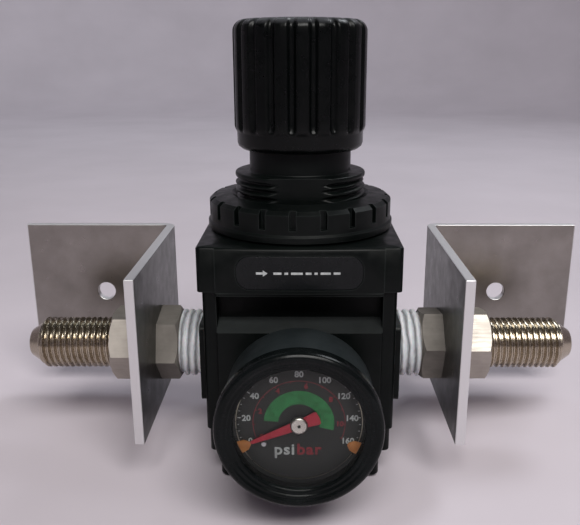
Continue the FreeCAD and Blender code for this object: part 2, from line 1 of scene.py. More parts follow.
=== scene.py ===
"""Looks of the miniature air pressure regulator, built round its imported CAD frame.

The frame is the CAD part's: X along the two ports, Y to the back, Z up. Blender works in metres.
Lengths in the making functions are in millimetres, and MM turns them into metres.
A piece rides on the CAD body it belongs to, and replaces the CAD node it stands for.
"""

import math

import bmesh
import bpy
from mathutils import Matrix, Vector, noise


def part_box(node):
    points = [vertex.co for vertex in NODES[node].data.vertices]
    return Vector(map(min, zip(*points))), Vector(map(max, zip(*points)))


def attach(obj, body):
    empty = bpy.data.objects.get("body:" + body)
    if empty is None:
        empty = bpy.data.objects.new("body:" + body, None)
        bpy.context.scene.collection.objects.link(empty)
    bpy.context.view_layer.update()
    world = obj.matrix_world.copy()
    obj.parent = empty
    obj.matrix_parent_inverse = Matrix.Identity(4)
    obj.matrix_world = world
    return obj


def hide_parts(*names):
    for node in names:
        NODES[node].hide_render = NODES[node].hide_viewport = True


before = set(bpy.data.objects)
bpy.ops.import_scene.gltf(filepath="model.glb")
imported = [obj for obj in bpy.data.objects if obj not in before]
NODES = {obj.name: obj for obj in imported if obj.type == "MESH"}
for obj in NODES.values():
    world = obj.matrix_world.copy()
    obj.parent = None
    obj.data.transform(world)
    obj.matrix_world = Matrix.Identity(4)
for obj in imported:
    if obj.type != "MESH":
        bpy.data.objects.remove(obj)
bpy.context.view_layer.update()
MM = 0.001
TAU = 2 * math.pi
WELD = 0.002 * MM      # CAD vertices nearer than this are one

# ---- places read from the frame -------------------------------------------------------------
BEZEL_LOW, BEZEL_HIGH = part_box("gauge_bezel")
AXIS_Z = (BEZEL_LOW.z + BEZEL_HIGH.z) / 2          # height of the port and gauge axis
KNOB_LOW, KNOB_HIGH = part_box("knob")
BONNET_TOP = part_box("bonnet")[1].z
DIAL_FACE = -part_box("gauge_dial")[0].y             # gauge depths are measured forward from the knob's axis
BEZEL_R = (BEZEL_HIGH.x - BEZEL_LOW.x) / 2 / MM
WINDOW_R = 11.5                                    # the bezel's opening
MARKER_TAB_R = 11.5                                # a set marker is orange inside this radius


# ---- small helpers --------------------------------------------------------------------------
def mix(a, b, t):
    return a + (b - a) * t


def ramp(value, low, high):
    """0 below low, 1 above high, smooth between."""
    t = min(1.0, max(0.0, (value - low) / (high - low)))
    return t * t * (3 - 2 * t)


def on_gauge():
    """Local +Z points to the front on the gauge axis, local +Y stays up."""
    return Matrix.Translation((0, 0, AXIS_Z)) @ Matrix.Rotation(math.radians(90), 4, "X")


def on_port(side):
    """Local +Z points out along the port axis."""
    return Matrix.Translation((0, 0, AXIS_Z)) @ Matrix.Rotation(math.radians(90 * side), 4, "Y")


def new_object(name, bm, material, body, sharp=40):
    """Finish a bmesh as a piece that rides on a body, smooth but for edges sharper than the angle."""
    bmesh.ops.recalc_face_normals(bm, faces=bm.faces)
    limit = math.radians(sharp)
    for face in bm.faces:
        face.smooth = True
    for edge in bm.edges:
        edge.smooth = len(edge.link_faces) == 2 and edge.calc_face_angle(0) < limit
    mesh = bpy.data.meshes.new(name)
    bm.to_mesh(mesh)
    bm.free()
    mesh.materials.append(material)
    piece = bpy.data.objects.new(name, mesh)
    bpy.context.scene.collection.objects.link(piece)
    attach(piece, body)
    return piece


def add_rings(bm, rings, closed_start=True, closed_end=True, looped=False):
    """Skin a list of rings, each a list of points of the same count. A looped skin has no ends."""
    rows = [[bm.verts.new(p) for p in ring] for ring in rings]
    count = len(rows[0])
    following = rows[1:] + rows[:1] if looped else rows[1:]
    for low, high in zip(rows, following):
        for i in range(count):
            j = (i + 1) % count
            bm.faces.new((low[i], low[j], high[j], high[i]))
    if closed_start and not looped:
        bm.faces.new(list(reversed(rows[0])))
    if closed_end and not looped:
        bm.faces.new(rows[-1])


def circle(radius, height, steps):
    return [(radius * math.cos(TAU * k / steps), radius * math.sin(TAU * k / steps), height)
            for k in range(steps)]


def rounded(profile, radius, steps=3):
    """Round each corner of an open (r, z) profile with a short curve."""
    points = [profile[0]]
    for before, corner, after in zip(profile, profile[1:], profile[2:]):
        a, c, b = Vector(before), Vector(corner), Vector(after)
        reach = min(radius, (a - c).length * 0.45, (b - c).length * 0.45)
        start, end = c + (a - c).normalized() * reach, c + (b - c).normalized() * reach
        for k in range(steps + 1):
            t = k / steps
            points.append(tuple((1 - t) ** 2 * start + 2 * t * (1 - t) * c + t * t * end))
    return points + [profile[-1]]


def spun(profile, steps):
    """The rings of a (radius, height) profile in millimetres turned about Z."""
    return [circle(r * MM, z * MM, steps) for r, z in profile]


def add_spin(bm, profile, steps=96, looped=False):
    """Revolve a (radius, height) profile in millimetres about Z, with open ends or looped into a ring."""
    add_rings(bm, spun(profile, steps), False, False, looped)


def thread_rings(root, crest, pitch, low, high, steps=96, rows_per_pitch=12, phase=0.0):
    """Skin of a screw thread between two heights in millimetres, fading to its root at both ends."""
    rows = int((high - low) / pitch * rows_per_pitch)
    rings = []
    for k in range(rows + 1):
        z = mix(low, high, k / rows)
        fade = ramp(z, low, low + 0.5 * pitch) * (1 - ramp(z, high - 0.5 * pitch, high))
        ring = []
        for i in range(steps):
            turn = i / steps
            place = (z / pitch - turn + phase) % 1.0
            flank = 1 - abs(2 * place - 1)
            height = min(1.0, max(0.0, (flank - 0.16) / 0.62))
            radius = mix(root, crest, height * fade) * MM
            ring.append((radius * math.cos(TAU * turn), radius * math.sin(TAU * turn), z * MM))
        rings.append(ring)
    return rings


def moved(bm, matrix):
    bmesh.ops.transform(bm, matrix=matrix, verts=bm.verts)
    return bm


def cad_copy(node, keep=None):
    """A welded bmesh of a CAD node. keep is a plane, (point, normal), and what is past it is cut off."""
    bm = bmesh.new()
    bm.from_mesh(NODES[node].data)
    bmesh.ops.remove_doubles(bm, verts=bm.verts, dist=WELD)
    if keep:
        bmesh.ops.bisect_plane(bm, geom=bm.verts[:] + bm.edges[:] + bm.faces[:], plane_co=keep[0],
                               plane_no=keep[1], clear_outer=True)
    return bm


def soften(node, width=0.25, segments=3, angle=28):
    """Round a CAD node's edges with modifiers, leaving its mesh as packed."""
    piece = NODES[node]
    mesh = piece.data
    if "custom_normal" in mesh.attributes:
        mesh.attributes.remove(mesh.attributes["custom_normal"])
    mesh.polygons.foreach_set("use_smooth", [True] * len(mesh.polygons))
    weld = piece.modifiers.new("weld", "WELD")
    weld.merge_threshold = WELD
    flat = piece.modifiers.new("flat", "DECIMATE")
    flat.decimate_type = "DISSOLVE"
    flat.angle_limit = math.radians(1.2)               # joins the triangles of a flat CAD face
    bevel = piece.modifiers.new("edges", "BEVEL")
    bevel.width = width * MM
    bevel.segments = segments
    bevel.limit_method = "ANGLE"
    bevel.angle_limit = math.radians(angle)
    bevel.use_clamp_overlap = True
    bevel.harden_normals = True
    bevel.miter_outer = "MITER_ARC"


# ---- materials ------------------------------------------------------------------------------
class Shader:
    """A small builder of node materials on one Principled shader."""

    def __init__(self, name):
        self.material = bpy.data.materials.new(name)
        self.material.use_nodes = True
        self.tree = self.material.node_tree
        self.links = self.tree.links
        self.principled = self.tree.nodes["Principled BSDF"]
        self.place = self.node("ShaderNodeTexCoord").outputs["Object"]

    def node(self, kind, **values):
        made = self.tree.nodes.new(kind)
        for key, value in values.items():
            setattr(made, key, value)
        return made

    def set(self, **values):
        for key, value in values.items():
            self.principled.inputs[key.replace("_", " ")].default_value = value
        return self

    def link(self, socket, name):
        self.links.new(socket, self.principled.inputs[name])

    def normal(self):
        return self.node("ShaderNodeNewGeometry").outputs["Normal"]

    def parts(self, vector):
        """X, Y and Z of a vector."""
        split = self.node("ShaderNodeSeparateXYZ")
        self.links.new(vector, split.inputs["Vector"])
        return split.outputs

    def calculate(self, operation, *values):
        made = self.node("ShaderNodeMath", operation=operation)
        for value, socket in zip(values, made.inputs):
            self.links.new(value, socket)
        return made.outputs["Value"]

    def stretched(self, scale):
        mapping = self.node("ShaderNodeMapping")
        mapping.inputs["Scale"].default_value = scale
        self.links.new(self.place, mapping.inputs["Vector"])
        return mapping.outputs["Vector"]

    def noise(self, size_mm, detail=3.0, place=None, roughness=0.55):
        made = self.node("ShaderNodeTexNoise")
        made.inputs["Scale"].default_value = 1 / (size_mm * MM)
        made.inputs["Detail"].default_value = detail
        made.inputs["Roughness"].default_value = roughness
        self.links.new(place or self.place, made.inputs["Vector"])
        return made.outputs["Fac"]

    def range(self, value, low, high, start=0.3, stop=0.7):
        made = self.node("ShaderNodeMapRange")
        for key, number in (("From Min", start), ("From Max", stop), ("To Min", low), ("To Max", high)):
            made.inputs[key].default_value = number
        self.links.new(value, made.inputs["Value"])
        return made.outputs["Result"]

    def blend(self, factor, first, second):
        made = self.node("ShaderNodeMix", data_type="RGBA")
        self.links.new(factor, made.inputs["Factor"])
        for socket, colour in ((made.inputs["A"], first), (made.inputs["B"], second)):
            if isinstance(colour, tuple):
                socket.default_value = (*colour, 1)
            else:
                self.links.new(colour, socket)
        return made.outputs["Result"]

    def edge_mask(self, radius_mm, low=0.02, high=0.2):
        """1 on sharp edges: where the rounded normal leaves the surface's own."""
        bevel = self.node("ShaderNodeBevel", samples=4)
        bevel.inputs["Radius"].default_value = radius_mm * MM
        dot = self.node("ShaderNodeVectorMath", operation="DOT_PRODUCT")
        self.links.new(bevel.outputs["Normal"], dot.inputs[0])
        self.links.new(self.normal(), dot.inputs[1])
        return self.range(dot.outputs["Value"], 1.0, 0.0, 1 - high, 1 - low)

    def reach(self, across):
        """Distance from the gauge's or the ports' axis, measured in the plane of the given directions."""
        flat = self.node("ShaderNodeVectorMath", operation="MULTIPLY_ADD")
        self.links.new(self.place, flat.inputs[0])
        flat.inputs[1].default_value = across
        flat.inputs[2].default_value = (0, 0, -AXIS_Z)
        length = self.node("ShaderNodeVectorMath", operation="LENGTH")
        self.links.new(flat.outputs["Vector"], length.inputs[0])
        return length.outputs["Value"]

    def bump(self, height, strength, depth_mm):
        made = self.node("ShaderNodeBump")
        made.inputs["Strength"].default_value = strength
        made.inputs["Distance"].default_value = depth_mm * MM
        self.links.new(height, made.inputs["Height"])
        if self.principled.inputs["Normal"].is_linked:
            before = self.principled.inputs["Normal"].links[0].from_socket
            self.links.new(before, made.inputs["Normal"])
        self.link(made.outputs["Normal"], "Normal")


def moulded(name, dark, pale, rough, grain_mm=0.35, grain=0.12, shine=0.3, coat=0.0, worn_and_glint=None, up_sheen=None):
    """Moulded plastic or painted metal: mottled colour and fine grain.

    worn_and_glint is the colour of its sharp edges, real wear with a painted glint, and up_sheen is a painted
    sheen: a paler colour where it faces up, standing in for light from above.
    """
    shader = Shader(name)
    mottle = shader.range(shader.noise(6.0, 4.0), 0, 1)
    colour = shader.blend(mottle, dark, pale)
    if worn_and_glint:
        # sharp edges take a paler colour: real wear with a painted glint on top
        colour = shader.blend(shader.edge_mask(0.35), colour, worn_and_glint)
    if up_sheen:
        # faces that look up take a paler, patchy colour: a painted sheen standing in for the light from above
        facing_up = shader.range(shader.parts(shader.normal())["Z"], 0, 1, 0.45, 0.9)
        patchy_sheen = shader.blend(mottle, tuple(0.65 * part for part in up_sheen), up_sheen)
        colour = shader.blend(facing_up, colour, patchy_sheen)
    shader.link(colour, "Base Color")
    shader.link(shader.range(shader.noise(2.2, 5.0), rough[0], rough[1]), "Roughness")
    shader.bump(shader.noise(grain_mm, 2.0), grain, 0.05)
    shader.bump(shader.noise(4.0, 2.0), 0.10, 0.12)
    shader.set(Coat_Weight=coat, Coat_Roughness=0.12, Specular_IOR_Level=shine)
    return shader.material


def metal(name, dark, pale, rough, grain=(1, 1, 1), scratch=0.06, size_mm=0.5, metallic=1.0):
    """Bare or plated metal: colour drifts slowly, roughness and bump follow a stretched grain."""
    shader = Shader(name)
    lines = shader.noise(size_mm, 3.0, shader.stretched(grain))
    drift = shader.range(shader.noise(5.0, 4.0), 0, 1)
    shader.link(shader.blend(drift, dark, pale), "Base Color")
    shader.link(shader.range(lines, rough[0], rough[1]), "Roughness")
    shader.bump(lines, scratch, 0.02)
    shader.set(Metallic=metallic)
    return shader.material


def bracket_metal():
    """Sheet metal: polished brownish faces, with painted shade and a painted dark reflection on the inner
    faces turned to the body, and paler, rougher sheared edges.
    """
    shader = Shader("bracket_sheet")
    place = shader.parts(shader.place)
    up_or_down = shader.calculate("ABSOLUTE", shader.parts(shader.normal())["Z"])
    across = shader.calculate("ABSOLUTE", place["X"])
    low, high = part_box("right_bracket")
    front = shader.range(place["Y"], 1.0, 0.0, low.y + 0.15 * MM, low.y + 0.3 * MM)
    outer = shader.range(across, 0.0, 1.0, high.x - 0.3 * MM, high.x - 0.15 * MM)
    sheared = shader.range(up_or_down, 0.0, 1.0, 0.35, 0.6)
    for extra in (front, outer):
        sheared = shader.calculate("MAXIMUM", sheared, extra)
    lines = shader.noise(0.35, 4.0, shader.stretched((0.06, 0.06, 1.0)))
    cloud = shader.range(shader.noise(7.0, 5.0), 0, 1)
    face = shader.blend(cloud, (0.24, 0.222, 0.205), (0.32, 0.297, 0.277))
    # the inner faces, turned to the body, are painted near black: painted shade and a painted reflection of
    # the dark body
    body_side_shade = shader.range(across, 1.0, 0.0, low.x + 0.1 * MM, low.x + 0.3 * MM)
    face = shader.blend(body_side_shade, face, (0.048, 0.052, 0.047))
    shader.link(shader.blend(sheared, face, (0.80, 0.80, 0.80)), "Base Color")
    polish = shader.range(shader.noise(3.0, 6.0), 0.27, 0.37)
    rough = shader.node("ShaderNodeMix", data_type="FLOAT")
    shader.links.new(sheared, rough.inputs["Factor"])
    shader.links.new(polish, rough.inputs["A"])
    rough.inputs["B"].default_value = 0.48
    shader.link(rough.outputs["Result"], "Roughness")
    shader.bump(lines, 0.05, 0.015)
    shader.set(Metallic=1.0)
    return shader.material


def tape_material():
    """White thread tape: fibrous, with painted shade, grey, in the grooves between its turns."""
    shader = Shader("wound_tape")
    fibres = shader.noise(0.16, 4.0, shader.stretched((1.0, 0.2, 0.2)))
    thin = shader.range(shader.noise(1.4, 5.0), 0, 1, 0.35, 0.75)
    film = shader.blend(thin, (0.88, 0.90, 0.93), (0.74, 0.76, 0.79))
    groove_r, ridge_r = 6.75, 7.15
    ridge_vs_groove_shade = shader.range(shader.reach((0, 1, 1)), 0, 1, groove_r * MM, ridge_r * MM)
    # the grooves between turns are painted grey: painted shade in the creases
    shader.link(shader.blend(ridge_vs_groove_shade, (0.30, 0.31, 0.33), film), "Base Color")
    shader.link(shader.range(fibres, 0.42, 0.62), "Roughness")
    shader.bump(fibres, 0.35, 0.04)
    shader.set(Subsurface_Weight=0.12, Subsurface_Scale=0.4 * MM, Sheen_Weight=0.15)
    return shader.material


def lens_material():
    """Thin clear window: it mirrors a little and lets lamps through."""
    material = bpy.data.materials.new("window")
    material.use_nodes = True
    tree = material.node_tree
    tree.nodes.remove(tree.nodes["Principled BSDF"])
    output = tree.nodes["Material Output"]
    clear = tree.nodes.new("ShaderNodeBsdfTransparent")
    clear.inputs["Color"].default_value = (0.96, 0.97, 0.96, 1)
    shine = tree.nodes.new("ShaderNodeBsdfGlossy")
    shine.inputs["Roughness"].default_value = 0.05
    fresnel = tree.nodes.new("ShaderNodeFresnel")
    fresnel.inputs["IOR"].default_value = 1.22
    both = tree.nodes.new("ShaderNodeMixShader")
    tree.links.new(fresnel.outputs["Fac"], both.inputs["Fac"])
    tree.links.new(clear.outputs["BSDF"], both.inputs[1])
    tree.links.new(shine.outputs["BSDF"], both.inputs[2])
    tree.links.new(both.outputs["Shader"], output.inputs["Surface"])
    return material


def ink(name, dark, pale, rough=(0.4, 0.6)):
    """Printed or painted marks: slightly uneven colour with a fine tooth."""
    shader = Shader(name)
    shader.link(shader.blend(shader.range(shader.noise(1.2, 4.0), 0, 1), dark, pale), "Base Color")
    shader.link(shader.range(shader.noise(0.5, 3.0), rough[0], rough[1]), "Roughness")
    shader.bump(shader.noise(0.08, 2.0), 0.10, 0.01)
    return shader.material


def marker_paint():
    """Orange tab on a dark ring: the colour changes with the distance from the gauge's axis."""
    shader = Shader("marker_look")
    ring = shader.range(shader.reach((1, 0, 1)), 0, 1, MARKER_TAB_R * MM, (MARKER_TAB_R + 0.1) * MM)
    mottle = shader.range(shader.noise(1.2, 4.0), 0, 1)
    tab = shader.blend(mottle, (0.38, 0.13, 0.030), (0.55, 0.22, 0.060))
    shader.link(shader.blend(ring, tab, (0.010, 0.011, 0.011)), "Base Color")
    shader.link(shader.range(shader.noise(0.5, 3.0), 0.35, 0.5), "Roughness")
    shader.bump(shader.noise(0.08, 2.0), 0.10, 0.01)
    return shader.material


M = {
    # In these finishes the edge colour is real wear with a painted glint, and the up-facing colour is a
    # painted sheen.
    "black_zinc": moulded("black_coat", (0.0010, 0.0019, 0.0017), (0.0028, 0.0040, 0.0037),
                          (0.34, 0.50), 0.30, 0.16, 0.12, 0.03,
                          worn_and_glint=(0.020, 0.024, 0.023), up_sheen=(0.026, 0.029, 0.029)),
    "black_nylon": moulded("black_nylon_look", (0.0010, 0.0020, 0.0018), (0.0030, 0.0042, 0.0039),
                           (0.30, 0.46), 0.40, 0.14, 0.14, worn_and_glint=(0.018, 0.022, 0.021)),
    # The knob's pale bluish up-facing colour is a painted sheen: the room's light on its top.
    "knob_plastic": moulded("knob_look", (0.0006, 0.0011, 0.0011), (0.0018, 0.0024, 0.0024),
                            (0.24, 0.36), 0.45, 0.08, 0.13, 0.03,
                            worn_and_glint=(0.012, 0.014, 0.014), up_sheen=(0.070, 0.073, 0.080)),
    "gauge_black": moulded("gauge_look", (0.0018, 0.0028, 0.0028), (0.0038, 0.0052, 0.0054),
                           (0.20, 0.30), 0.45, 0.05, 0.12, 0.04),
    # The case's own finish is a lighter copy of the gauge black: painted light standing in for the light on
    # its top.
    "case_lit_black": moulded("case_lit_look", (0.0160, 0.0205, 0.0220), (0.0260, 0.0320, 0.0340),
                          (0.30, 0.42), 0.45, 0.06, 0.25, 0.06),
    "label_film": moulded("label_look", (0.0014, 0.0024, 0.0028), (0.0036, 0.0048, 0.0054),
                          (0.20, 0.32), 0.6, 0.05, 0.20, 0.05),
    "nickel_plate": metal("nickel_look", (0.40, 0.348, 0.275), (0.53, 0.47, 0.38), (0.18, 0.30),
                          scratch=0.05),
    "nickel_hex": metal("nickel_hex_look", (0.37, 0.34, 0.305), (0.48, 0.44, 0.395), (0.45, 0.58),
                        (0.1, 1, 1), 0.08),
    "adapter_hex": metal("adapter_hex_look", (0.185, 0.168, 0.150), (0.275, 0.252, 0.226), (0.58, 0.70),
                         (0.1, 1, 1), 0.08, metallic=0.4),
    "bracket_metal": bracket_metal(),
    "ptfe_tape": tape_material(),
    "steel": metal("steel_look", (0.42, 0.42, 0.43), (0.56, 0.56, 0.57), (0.25, 0.42)),
    "spring_steel": metal("spring_look", (0.34, 0.34, 0.35), (0.46, 0.46, 0.47), (0.22, 0.36)),
    "nitrile": moulded("rubber_look", (0.010, 0.010, 0.010), (0.018, 0.018, 0.018), (0.6, 0.8), 0.3, 0.2),
    "brass": metal("brass_look", (0.58, 0.42, 0.20), (0.74, 0.56, 0.30), (0.22, 0.38), scratch=0.08),
    "lens": lens_material(),
    "dial_plate": ink("dial_look", (0.011, 0.013, 0.012), (0.020, 0.022, 0.021), (0.5, 0.65)),
    "dial_white": ink("dial_white_look", (0.34, 0.36, 0.36), (0.56, 0.58, 0.58)),
    "dial_red": ink("dial_red_look", (0.18, 0.010, 0.020), (0.30, 0.018, 0.030)),
    "dial_green": ink("dial_green_look", (0.012, 0.125, 0.032), (0.028, 0.235, 0.068)),
    "pointer_red": ink("pointer_look", (0.34, 0.008, 0.028), (0.48, 0.018, 0.042), (0.3, 0.45)),
    "marker_orange": marker_paint(),
    "rim_metal": metal("rim_look", (0.34, 0.32, 0.26), (0.50, 0.47, 0.38), (0.25, 0.40)),
    "hub_silver": metal("hub_look", (0.60, 0.56, 0.52), (0.84, 0.80, 0.75), (0.22, 0.42),
                        scratch=0.2, size_mm=0.3),
}


OWN_FINISH = {"gauge_case": "case_lit_black", "left_locknut": "nickel_hex", "right_locknut": "nickel_hex"}


def paint_cad_nodes():
    """Each CAD node gets its own finish, or else that of its material slot."""
    for name, piece in NODES.items():
        slot = piece.data.materials[0].name
        piece.data.materials[0] = M[OWN_FINISH.get(name, slot)]


# ---- body, cap, bonnet and nut --------------------------------------------------------------
def make_body_parts():
    """Rounded edges on the CAD nodes that stay, with each edge's width in millimetres."""
    for node, width in (("valve_body", 0.35), ("bottom_cap", 0.4), ("case_screws", 0.15), ("panel_nut", 0.22),
                        ("gauge_case", 0.3), ("gauge_socket", 0.25), ("port_plug", 0.2)):
        soften(node, width)
    soften("label_plate", 0.08, segments=2)


def make_bonnet():
    """Flange kept from the CAD node, with a threaded collar, flat at the front, and a neck above it."""
    collar_r, neck_r, flat = 13.5, 10.5, 11.9
    pitch, depth = 1.5, 0.8
    flange_top, collar_top, neck_top = 50.2, 61.8, BONNET_TOP / MM
    bm = cad_copy("bonnet", (Vector((0, 0, (flange_top + 0.05) * MM)), Vector((0, 0, 1))))
    rings = [circle(collar_r * MM, (flange_top - 0.6) * MM, 128),
             circle((collar_r - depth) * MM, (flange_top + 0.2) * MM, 128)]
    thread_top = collar_top - 1.3
    rings += thread_rings(collar_r - depth, collar_r - 0.02, pitch, flange_top + 0.3, thread_top,
                          steps=128, phase=0.35)
    above = rounded([(collar_r - depth, thread_top), (collar_r, thread_top + 0.25), (collar_r, collar_top),
                     (neck_r, collar_top), (neck_r, neck_top), (0.05, neck_top)], 0.45, 4)
    rings += spun(above, 128)
    rings = [[(x, max(y, -flat * MM), z) for x, y, z in ring] for ring in rings]
    add_rings(bm, rings, False, True)
    piece = new_object("bonnet_shell", bm, M["black_nylon"], "regulator", 50)
    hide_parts("bonnet")


def make_knob():
    """Fluted grip with a notched crown, a plain skirt and a hollow underside."""
    flutes, per_flute = 20, 20
    phase = math.radians(-87.5)
    low, top = KNOB_LOW.z / MM, KNOB_HIGH.z / MM
    flute_low, radius, skirt = low + 3.9, 13.45, 12.95
    round_r, rim = 2.3, top - 0.2
    profile = [(skirt - 0.95, low), (skirt - 0.25, low + 0.55), (skirt - 0.04, low + 1.2),
               (skirt, flute_low - 0.7), (skirt + 0.06, flute_low - 0.45), (skirt + 0.25, flute_low - 0.1),
               (radius - 0.06, flute_low + 0.3), (radius, flute_low + 0.7)]
    profile += [(radius, mix(flute_low + 0.7, rim - round_r - 0.4, k / 10)) for k in range(1, 11)]
    for k in range(1, 9):
        angle = math.radians(90 * k / 8)
        profile.append((radius + round_r * (math.cos(angle) - 1), rim + round_r * (math.sin(angle) - 1)))
    profile += [(10.2, rim + 0.02), (9.3, rim + 0.06), (8.9, rim + 0.12), (8.4, top - 0.05),
                (6.0, top - 0.01), (0.4, top)]

    def ring(r, z):
        """One ring of the grip's outside, with its grooves fading out over the skirt and the crown."""
        points = []
        cut = ramp(z, flute_low - 0.35, flute_low + 0.9) if r > 9.5 else 0.0
        if z >= rim - 0.2:
            cut *= ramp(r, 10.2, 11.4)
        for i in range(flutes * per_flute):
            turn = i / (flutes * per_flute)
            across = abs((turn * flutes) % 1.0 - 0.5) * 2          # 1 in the middle of a groove
            groove = ramp(across, 0.50, 0.86)
            swell = 0.10 * (1 - across) ** 2 - 0.10                # ribs are slightly rounded
            here = r - cut * (0.85 * groove - swell * 0.6)
            angle = TAU * turn + phase + math.pi / flutes
            points.append((here * MM * math.cos(angle), here * MM * math.sin(angle), z * MM))
        return points

    count = flutes * per_flute
    inside = [(3.6, top - 3), (3.6, low + 9.5), (10.9, low + 9.5), (10.9, low + 0.3), (11.3, low)]
    bm = bmesh.new()
    rings = spun(inside, count) + [ring(r, z) for r, z in profile]
    add_rings(bm, rings, True, True)
    piece = new_object("knob_grip", bm, M["knob_plastic"], "knob", 48)
    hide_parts("knob")


# ---- fittings, tape and brackets ------------------------------------------------------------
def make_fitting(side, name):
    """Hexagon and port thread kept from the CAD node, with a helical flare thread, nose and bore."""
    crest, root, pitch = 5.556, 4.86, 1.27
    hex_out, thread_end, nose_end, bore = 31.0, 57.3, 59.9, 2.15
    bm = cad_copy(name, (Vector((side * (hex_out + 0.02) * MM, 0, 0)), Vector((side, 0, 0))))
    for face in bm.faces:
        face.material_index = 1
    body = bmesh.new()
    rings = [circle(root * MM, (hex_out - 0.5) * MM, 96)]
    rings += thread_rings(root, crest, pitch, hex_out - 0.3, thread_end - 0.2, rows_per_pitch=14)
    nose = rounded([(root, thread_end - 0.15), (4.5, thread_end + 0.1), (3.05, nose_end - 0.25),
                    (2.7, nose_end), (bore + 0.15, nose_end), (bore, nose_end - 0.2),
                    (bore, nose_end - 14.0)], 0.12, 2)
    rings += spun(nose, 96)
    add_rings(body, rings, False, True)
    moved(body, on_port(side))
    spare = bpy.data.meshes.new("spare")
    body.to_mesh(spare)
    body.free()
    bm.from_mesh(spare)
    bpy.data.meshes.remove(spare)
    piece = new_object(name + "_threaded", bm, M["nickel_plate"], "regulator", 34)
    piece.data.materials.append(M["adapter_hex"])
    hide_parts(name)


def make_tape(side, name):
    """Overlapping turns of thread tape: slanted ridges with ragged, uneven edges."""
    inner, outer = sorted(abs(corner.x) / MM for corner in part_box(name))
    base, lift, turns = 6.55, 0.78, 3.4
    pitch = (outer - inner) / turns
    rows, steps = 66, 110
    rings = []
    for k in range(rows + 1):
        x = mix(inner + 0.02, outer - 0.02, k / rows)
        ring = []
        for i in range(steps):
            turn = i / steps
            angle = TAU * turn
            seed = Vector((math.cos(angle) * 2.2, math.sin(angle) * 2.2, x * 0.9 + side * 9))
            wander = 0.13 * noise.noise(seed) + 0.07 * noise.noise(seed * 2.7)
            place = ((x - inner) / pitch - turn * side + wander + 0.2) % 1.0
            step = ramp(place, 0.0, 0.26) * (1 - 0.85 * ramp(place, 0.45, 1.0))
            end = ramp(x, inner, inner + 0.3) * (1 - ramp(x, outer - 0.35, outer))
            crease = 0.05 * noise.noise(Vector((math.cos(angle) * 9, math.sin(angle) * 9, x * 3)))
            r = base + (lift * step + 0.06 + crease) * mix(0.25, 1.0, end)
            ring.append((r * MM * math.cos(angle), r * MM * math.sin(angle), x * MM))
        rings.append(ring)
    rings = [circle((base - 0.02) * MM, (inner + 0.02) * MM, steps)] + rings
    rings += [circle((base - 0.02) * MM, (outer - 0.02) * MM, steps)]
    bm = bmesh.new()
    add_rings(bm, rings, True, True)
    moved(bm, on_port(side))
    piece = new_object(name + "_wound", bm, M["ptfe_tape"], "regulator", 60)
    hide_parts(name)


def make_side_parts():
    for side, hand in ((-1, "left"), (1, "right")):
        make_fitting(side, hand + "_adapter")
        make_tape(side, hand + "_tape")
        soften(hand + "_bracket", 0.22)
        soften(hand + "_locknut", 0.3)


# ---- gauge ----------------------------------------------------------------------------------
def make_bezel():
    """Snap-on ring: a rounded rim that steps down to the window in fine rings."""
    back, seat, window, inner, front = (DIAL_FACE / MM + depth for depth in (0.6, 1.83, 2.75, 2.92, 3.8))
    rim_r, seat_r, lens_r = BEZEL_R, BEZEL_R - 0.86, 12.72
    profile = [(seat_r, seat), (seat_r, back), (rim_r - 0.3, back), (rim_r, back + 0.3), (rim_r, front - 0.9),
               (rim_r - 0.2, front - 0.35), (rim_r - 0.7, front), (13.45, front), (13.0, front - 0.32),
               (12.6, front - 0.30), (12.25, front - 0.62), (11.9, front - 0.60), (WINDOW_R, inner),
               (WINDOW_R, window), (lens_r, window), (lens_r, seat)]
    smooth = rounded(profile + [profile[0]], 0.16, 3)[:-1]
    bm = bmesh.new()
    add_spin(bm, smooth, 160, looped=True)
    moved(bm, on_gauge())
    piece = new_object("bezel_ring", bm, M["gauge_black"], "regulator", 40)
    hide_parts("gauge_bezel")


ZERO = 202.5           # the pointer's angle at 0, in degrees anticlockwise from +X
SWEEP = 225.0          # and how far it turns to full scale
FULL_PSI = 160.0
PSI_PER_BAR = 14.504
PRINT = 0.012          # thickness of the print above the dial


def at_dial(radius, degrees):
    """Point on the dial in millimetres, anticlockwise from +X as seen from the front."""
    angle = math.radians(degrees)
    return radius * math.cos(angle), radius * math.sin(angle)


def psi_angle(psi):
    return ZERO - SWEEP * psi / FULL_PSI


def thicken(bm, faces, push):
    made = bmesh.ops.extrude_face_region(bm, geom=faces)
    far = [v for v in made["geom"] if isinstance(v, bmesh.types.BMVert)]
    bmesh.ops.translate(bm, vec=push, verts=far)


def add_flat(bm, outline, depth_mm, thickness=PRINT):
    """Thin plate from a flat outline in millimetres, standing on a depth of the gauge."""
    face = bm.faces.new([bm.verts.new((x * MM, y * MM, depth_mm * MM)) for x, y in outline])
    thicken(bm, [face], (0, 0, thickness * MM))


def arc_band(inner, outer, start, stop, steps=48):
    edge = [at_dial(outer, mix(start, stop, k / steps)) for k in range(steps + 1)]
    return edge + [at_dial(inner, mix(stop, start, k / steps)) for k in range(steps + 1)]


def tick(inner, outer, degrees, half):
    """Outline of a radial mark, with half its width."""
    x, y = at_dial(1, degrees)
    return [(inner * x - half * y, inner * y + half * x), (inner * x + half * y, inner * y - half * x),
            (outer * x + half * y, outer * y - half * x), (outer * x - half * y, outer * y + half * x)]


